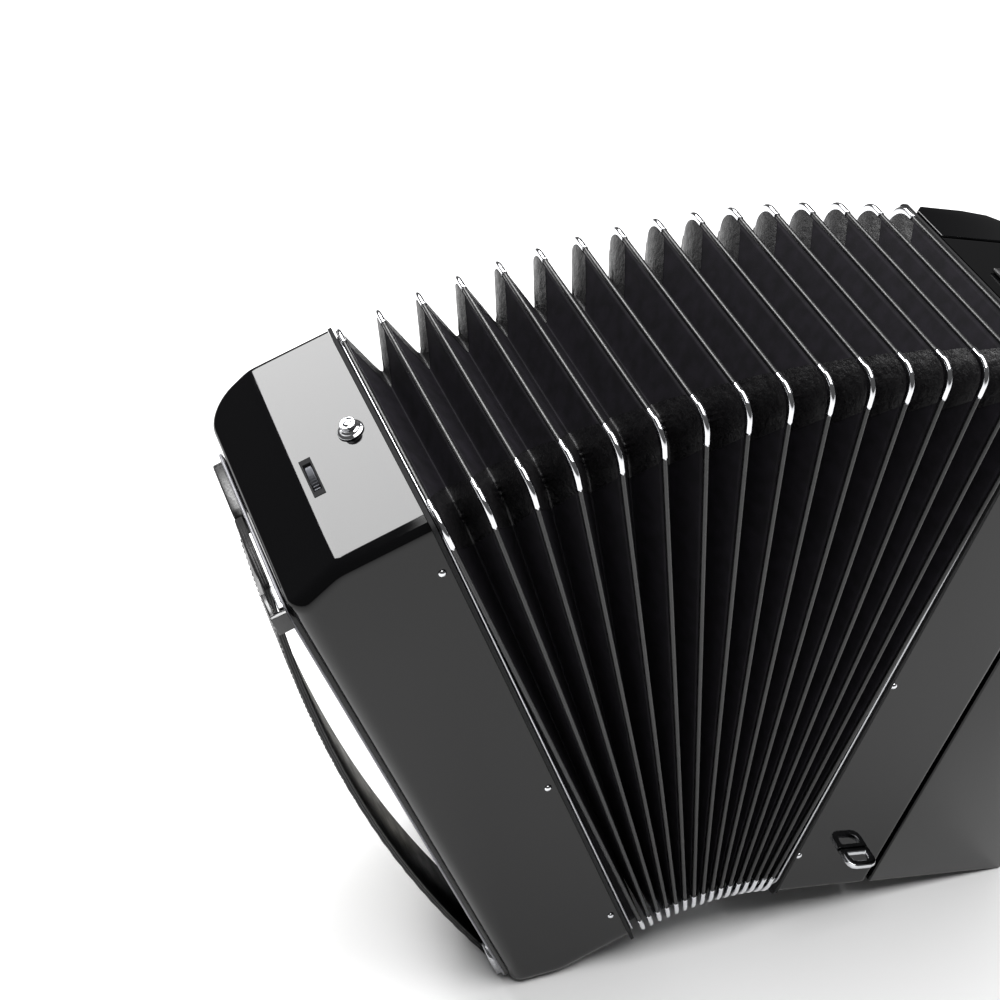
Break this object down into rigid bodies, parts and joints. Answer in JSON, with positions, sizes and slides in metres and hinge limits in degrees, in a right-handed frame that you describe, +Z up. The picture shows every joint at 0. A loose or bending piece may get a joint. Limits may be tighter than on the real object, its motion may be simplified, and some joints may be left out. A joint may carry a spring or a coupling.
{
  "type": "piano accordion",
  "caption": "Piano accordion with open fanned bellows, black lacquered boxes, chrome bellows corners, hand strap, bass buttons and piano keyboard.",
  "frame": {"origin": "middle of the bottom of the bounding box, on the floor the instrument stands on with its bellows fanned open", "axes": "+Z up, +X towards the bass (left-hand) box, -X towards the keyboard, -Y towards the audience, +Y towards the player"},
  "size_m": [0.697, 0.2028, 0.5145],
  "materials": {
    "bellows_cloth": "matt black bookcloth on card",
    "black_lacquer": "polished black celluloid",
    "gasket_felt": "matt black felt",
    "reed_wood": "plain maple",
    "black_leather": "creased black leather",
    "chrome": "polished chrome plate",
    "satin_trim": "satin",
    "black_plastic": "smooth black plastic",
    "steel": "drawn rod",
    "knurled_wheel": "dark grey knurled",
    "white_plastic": "smooth off-white"
  },
  "bodies": {
    "treble": {"treble_casing": "black_lacquer", "treble_bellows_frame": "gasket_felt", "treble_grille": "black_lacquer", "treble_reed_block": "reed_wood", "keyboard_bed": "black_lacquer", "key_axle": "steel", "shoulder_bracket_top": "chrome", "shoulder_bracket_bottom": "chrome", "bellows_strap": "black_leather", "fold_16": "bellows_cloth"},
    "bass": {"bass_casing": "black_lacquer", "bass_bellows_frame": "gasket_felt", "bass_bottom_plate": "black_lacquer", "bass_reed_block": "reed_wood", "hand_strap": "black_leather", "strap_stud_top": "chrome", "strap_stud_bottom": "chrome", "strap_guard": "black_plastic", "strap_bracket": "black_plastic", "strap_clamp_bottom": "satin_trim", "fold_01": "bellows_cloth"},
    "fold_02_body": {"fold_02": "bellows_cloth"},
    "fold_03_body": {"fold_03": "bellows_cloth"},
    "fold_04_body": {"fold_04": "bellows_cloth"},
    "fold_05_body": {"fold_05": "bellows_cloth"},
    "fold_06_body": {"fold_06": "bellows_cloth"},
    "fold_07_body": {"fold_07": "bellows_cloth"},
    "fold_08_body": {"fold_08": "bellows_cloth"},
    "fold_09_body": {"fold_09": "bellows_cloth"},
    "fold_10_body": {"fold_10": "bellows_cloth"},
    "fold_11_body": {"fold_11": "bellows_cloth"},
    "fold_12_body": {"fold_12": "bellows_cloth"},
    "fold_13_body": {"fold_13": "bellows_cloth"},
    "fold_14_body": {"fold_14": "bellows_cloth"},
    "fold_15_body": {"fold_15": "bellows_cloth"},
    "key_c_body": {"key_c": "white_plastic"},
    "key_d_body": {"key_d": "white_plastic"},
    "key_e_body": {"key_e": "white_plastic"},
    "key_f_body": {"key_f": "white_plastic"},
    "key_g_body": {"key_g": "white_plastic"},
    "key_a_body": {"key_a": "white_plastic"},
    "key_b_body": {"key_b": "white_plastic"},
    "key_c_sharp_body": {"key_c_sharp": "black_plastic"},
    "key_d_sharp_body": {"key_d_sharp": "black_plastic"},
    "key_f_sharp_body": {"key_f_sharp": "black_plastic"},
    "key_g_sharp_body": {"key_g_sharp": "black_plastic"},
    "key_a_sharp_body": {"key_a_sharp": "black_plastic"},
    "white_keys_low_body": {"white_keys_low": "white_plastic"},
    "white_keys_high_body": {"white_keys_high": "white_plastic"},
    "black_keys_low_body": {"black_keys_low": "black_plastic"},
    "black_keys_high_body": {"black_keys_high": "black_plastic"},
    "register_tab_1_body": {"register_tab_1": "white_plastic"},
    "register_tab_2_body": {"register_tab_2": "white_plastic"},
    "register_tab_3_body": {"register_tab_3": "white_plastic"},
    "button_bank_body": {"bass_button_bank": "white_plastic"},
    "air_button_body": {"air_button": "white_plastic"},
    "strap_wheel_body": {"strap_wheel": "knurled_wheel"},
    "strap_anchor_body": {"strap_anchor": "satin_trim"}
  },
  "joints": [
    {"name": "bellows_hinge_01", "type": "hinge", "parent": "treble", "child": "bass", "pos_m": [0.0078, -0.0064, 0.02946], "axis": [0, 1, 0], "range_deg": [-37.3, 7.5]},
    {"name": "bellows_hinge_02", "type": "hinge", "parent": "treble", "child": "fold_02_body", "pos_m": [0.00498, -0.0064, 0.02949], "axis": [0, 1, 0], "range_deg": [-34.82, 7]},
    {"name": "bellows_hinge_03", "type": "hinge", "parent": "treble", "child": "fold_03_body", "pos_m": [0.00218, -0.0064, 0.02948], "axis": [0, 1, 0], "range_deg": [-32.33, 6.5]},
    {"name": "bellows_hinge_04", "type": "hinge", "parent": "treble", "child": "fold_04_body", "pos_m": [-0.00061, -0.0064, 0.02944], "axis": [0, 1, 0], "range_deg": [-29.85, 6]},
    {"name": "bellows_hinge_05", "type": "hinge", "parent": "treble", "child": "fold_05_body", "pos_m": [-0.0034, -0.0064, 0.02935], "axis": [0, 1, 0], "range_deg": [-27.36, 5.5]},
    {"name": "bellows_hinge_06", "type": "hinge", "parent": "treble", "child": "fold_06_body", "pos_m": [-0.00618, -0.0064, 0.02922], "axis": [0, 1, 0], "range_deg": [-24.87, 5]},
    {"name": "bellows_hinge_07", "type": "hinge", "parent": "treble", "child": "fold_07_body", "pos_m": [-0.00895, -0.0064, 0.02905], "axis": [0, 1, 0], "range_deg": [-22.39, 4.5]},
    {"name": "bellows_hinge_08", "type": "hinge", "parent": "treble", "child": "fold_08_body", "pos_m": [-0.01171, -0.0064, 0.02884], "axis": [0, 1, 0], "range_deg": [-19.9, 4]},
    {"name": "bellows_hinge_09", "type": "hinge", "parent": "treble", "child": "fold_09_body", "pos_m": [-0.01447, -0.0064, 0.0286], "axis": [0, 1, 0], "range_deg": [-17.41, 3.5]},
    {"name": "bellows_hinge_10", "type": "hinge", "parent": "treble", "child": "fold_10_body", "pos_m": [-0.01722, -0.0064, 0.02831], "axis": [0, 1, 0], "range_deg": [-14.92, 3]},
    {"name": "bellows_hinge_11", "type": "hinge", "parent": "treble", "child": "fold_11_body", "pos_m": [-0.01995, -0.0064, 0.02799], "axis": [0, 1, 0], "range_deg": [-12.44, 2.5]},
    {"name": "bellows_hinge_12", "type": "hinge", "parent": "treble", "child": "fold_12_body", "pos_m": [-0.02269, -0.0064, 0.02762], "axis": [0, 1, 0], "range_deg": [-9.95, 2]},
    {"name": "bellows_hinge_13", "type": "hinge", "parent": "treble", "child": "fold_13_body", "pos_m": [-0.02541, -0.0064, 0.02722], "axis": [0, 1, 0], "range_deg": [-7.46, 1.5]},
    {"name": "bellows_hinge_14", "type": "hinge", "parent": "treble", "child": "fold_14_body", "pos_m": [-0.02813, -0.0064, 0.02678], "axis": [0, 1, 0], "range_deg": [-4.98, 1]},
    {"name": "bellows_hinge_15", "type": "hinge", "parent": "treble", "child": "fold_15_body", "pos_m": [-0.03083, -0.0064, 0.02629], "axis": [0, 1, 0], "range_deg": [-2.49, 0.5]},
    {"name": "key_c_press", "type": "hinge", "parent": "treble", "child": "key_c_body", "pos_m": [-0.18531, 0.0576, 0.25307], "axis": [0.1837, 0, -0.983], "range_deg": [0, 2], "stiffness_Nm_per_rad": 1, "springref_deg": -4.58},
    {"name": "key_d_press", "type": "hinge", "parent": "treble", "child": "key_d_body", "pos_m": [-0.18531, 0.0576, 0.25307], "axis": [0.1837, 0, -0.983], "range_deg": [0, 2], "stiffness_Nm_per_rad": 1, "springref_deg": -4.58},
    {"name": "key_e_press", "type": "hinge", "parent": "treble", "child": "key_e_body", "pos_m": [-0.18531, 0.0576, 0.25307], "axis": [0.1837, 0, -0.983], "range_deg": [0, 2], "stiffness_Nm_per_rad": 1, "springref_deg": -4.58},
    {"name": "key_f_press", "type": "hinge", "parent": "treble", "child": "key_f_body", "pos_m": [-0.18531, 0.0576, 0.25307], "axis": [0.1837, 0, -0.983], "range_deg": [0, 2], "stiffness_Nm_per_rad": 1, "springref_deg": -4.58},
    {"name": "key_g_press", "type": "hinge", "parent": "treble", "child": "key_g_body", "pos_m": [-0.18531, 0.0576, 0.25307], "axis": [0.1837, 0, -0.983], "range_deg": [0, 2], "stiffness_Nm_per_rad": 1, "springref_deg": -4.58},
    {"name": "key_a_press", "type": "hinge", "parent": "treble", "child": "key_a_body", "pos_m": [-0.18531, 0.0576, 0.25307], "axis": [0.1837, 0, -0.983], "range_deg": [0, 2], "stiffness_Nm_per_rad": 1, "springref_deg": -4.58},
    {"name": "key_b_press", "type": "hinge", "parent": "treble", "child": "key_b_body", "pos_m": [-0.18531, 0.0576, 0.25307], "axis": [0.1837, 0, -0.983], "range_deg": [0, 2], "stiffness_Nm_per_rad": 1, "springref_deg": -4.58},
    {"name": "key_c_sharp_press", "type": "hinge", "parent": "treble", "child": "key_c_sharp_body", "pos_m": [-0.18531, 0.0576, 0.25307], "axis": [0.1837, 0, -0.983], "range_deg": [0, 2], "stiffness_Nm_per_rad": 1, "springref_deg": -4.58},
    {"name": "key_d_sharp_press", "type": "hinge", "parent": "treble", "child": "key_d_sharp_body", "pos_m": [-0.18531, 0.0576, 0.25307], "axis": [0.1837, 0, -0.983], "range_deg": [0, 2], "stiffness_Nm_per_rad": 1, "springref_deg": -4.58},
    {"name": "key_f_sharp_press", "type": "hinge", "parent": "treble", "child": "key_f_sharp_body", "pos_m": [-0.18531, 0.0576, 0.25307], "axis": [0.1837, 0, -0.983], "range_deg": [0, 2], "stiffness_Nm_per_rad": 1, "springref_deg": -4.58},
    {"name": "key_g_sharp_press", "type": "hinge", "parent": "treble", "child": "key_g_sharp_body", "pos_m": [-0.18531, 0.0576, 0.25307], "axis": [0.1837, 0, -0.983], "range_deg": [0, 2], "stiffness_Nm_per_rad": 1, "springref_deg": -4.58},
    {"name": "key_a_sharp_press", "type": "hinge", "parent": "treble", "child": "key_a_sharp_body", "pos_m": [-0.18531, 0.0576, 0.25307], "axis": [0.1837, 0, -0.983], "range_deg": [0, 2], "stiffness_Nm_per_rad": 1, "springref_deg": -4.58},
    {"name": "white_keys_low_press", "type": "hinge", "parent": "treble", "child": "white_keys_low_body", "pos_m": [-0.18531, 0.0576, 0.25307], "axis": [0.1837, 0, -0.983], "range_deg": [0, 2], "stiffness_Nm_per_rad": 6, "springref_deg": -4.58},
    {"name": "white_keys_high_press", "type": "hinge", "parent": "treble", "child": "white_keys_high_body", "pos_m": [-0.18531, 0.0576, 0.25307], "axis": [0.1837, 0, -0.983], "range_deg": [0, 2], "stiffness_Nm_per_rad": 6, "springref_deg": -4.58},
    {"name": "black_keys_low_press", "type": "hinge", "parent": "treble", "child": "black_keys_low_body", "pos_m": [-0.18531, 0.0576, 0.25307], "axis": [0.1837, 0, -0.983], "range_deg": [0, 2], "stiffness_Nm_per_rad": 6, "springref_deg": -4.58},
    {"name": "black_keys_high_press", "type": "hinge", "parent": "treble", "child": "black_keys_high_body", "pos_m": [-0.18531, 0.0576, 0.25307], "axis": [0.1837, 0, -0.983], "range_deg": [0, 2], "stiffness_Nm_per_rad": 6, "springref_deg": -4.58},
    {"name": "register_tab_1_press", "type": "slide", "parent": "treble", "child": "register_tab_1_body", "axis": [0, 1, 0], "range_m": [0, 0.002], "stiffness_N_per_m": 400, "springref_m": -0.002},
    {"name": "register_tab_2_press", "type": "slide", "parent": "treble", "child": "register_tab_2_body", "axis": [0, 1, 0], "range_m": [0, 0.002], "stiffness_N_per_m": 400, "springref_m": -0.002},
    {"name": "register_tab_3_press", "type": "slide", "parent": "treble", "child": "register_tab_3_body", "axis": [0, 1, 0], "range_m": [0, 0.002], "stiffness_N_per_m": 400, "springref_m": -0.002},
    {"name": "button_bank_press", "type": "slide", "parent": "bass", "child": "button_bank_body", "axis": [-0.9047, 0, 0.426], "range_m": [0, 0.003], "stiffness_N_per_m": 1500, "springref_m": -0.003},
    {"name": "air_button_press", "type": "slide", "parent": "bass", "child": "air_button_body", "axis": [-0.9047, 0, 0.426], "range_m": [0, 0.004], "stiffness_N_per_m": 400, "springref_m": -0.002},
    {"name": "strap_wheel_turn", "type": "hinge", "parent": "bass", "child": "strap_wheel_body", "pos_m": [0.29866, 0.0091, 0.41374], "axis": [0.9047, 0, -0.426], "range_deg": [0, 720]},
    {"name": "strap_anchor_travel", "type": "slide", "parent": "bass", "child": "strap_anchor_body", "axis": [0.9047, 0, -0.426], "range_m": [0, 0.003]}
  ],
  "couplings": [
    {"joint": "bellows_hinge_02", "follows": "bellows_hinge_01", "ratio": 0.93333},
    {"joint": "bellows_hinge_03", "follows": "bellows_hinge_01", "ratio": 0.86667},
    {"joint": "bellows_hinge_04", "follows": "bellows_hinge_01", "ratio": 0.8},
    {"joint": "bellows_hinge_05", "follows": "bellows_hinge_01", "ratio": 0.73333},
    {"joint": "bellows_hinge_06", "follows": "bellows_hinge_01", "ratio": 0.66667},
    {"joint": "bellows_hinge_07", "follows": "bellows_hinge_01", "ratio": 0.6},
    {"joint": "bellows_hinge_08", "follows": "bellows_hinge_01", "ratio": 0.53333},
    {"joint": "bellows_hinge_09", "follows": "bellows_hinge_01", "ratio": 0.46667},
    {"joint": "bellows_hinge_10", "follows": "bellows_hinge_01", "ratio": 0.4},
    {"joint": "bellows_hinge_11", "follows": "bellows_hinge_01", "ratio": 0.33333},
    {"joint": "bellows_hinge_12", "follows": "bellows_hinge_01", "ratio": 0.26667},
    {"joint": "bellows_hinge_13", "follows": "bellows_hinge_01", "ratio": 0.2},
    {"joint": "bellows_hinge_14", "follows": "bellows_hinge_01", "ratio": 0.13333},
    {"joint": "bellows_hinge_15", "follows": "bellows_hinge_01", "ratio": 0.066667},
    {"joint": "strap_anchor_travel", "follows": "strap_wheel_turn", "m_per_rad": 0.00023794}
  ]
}
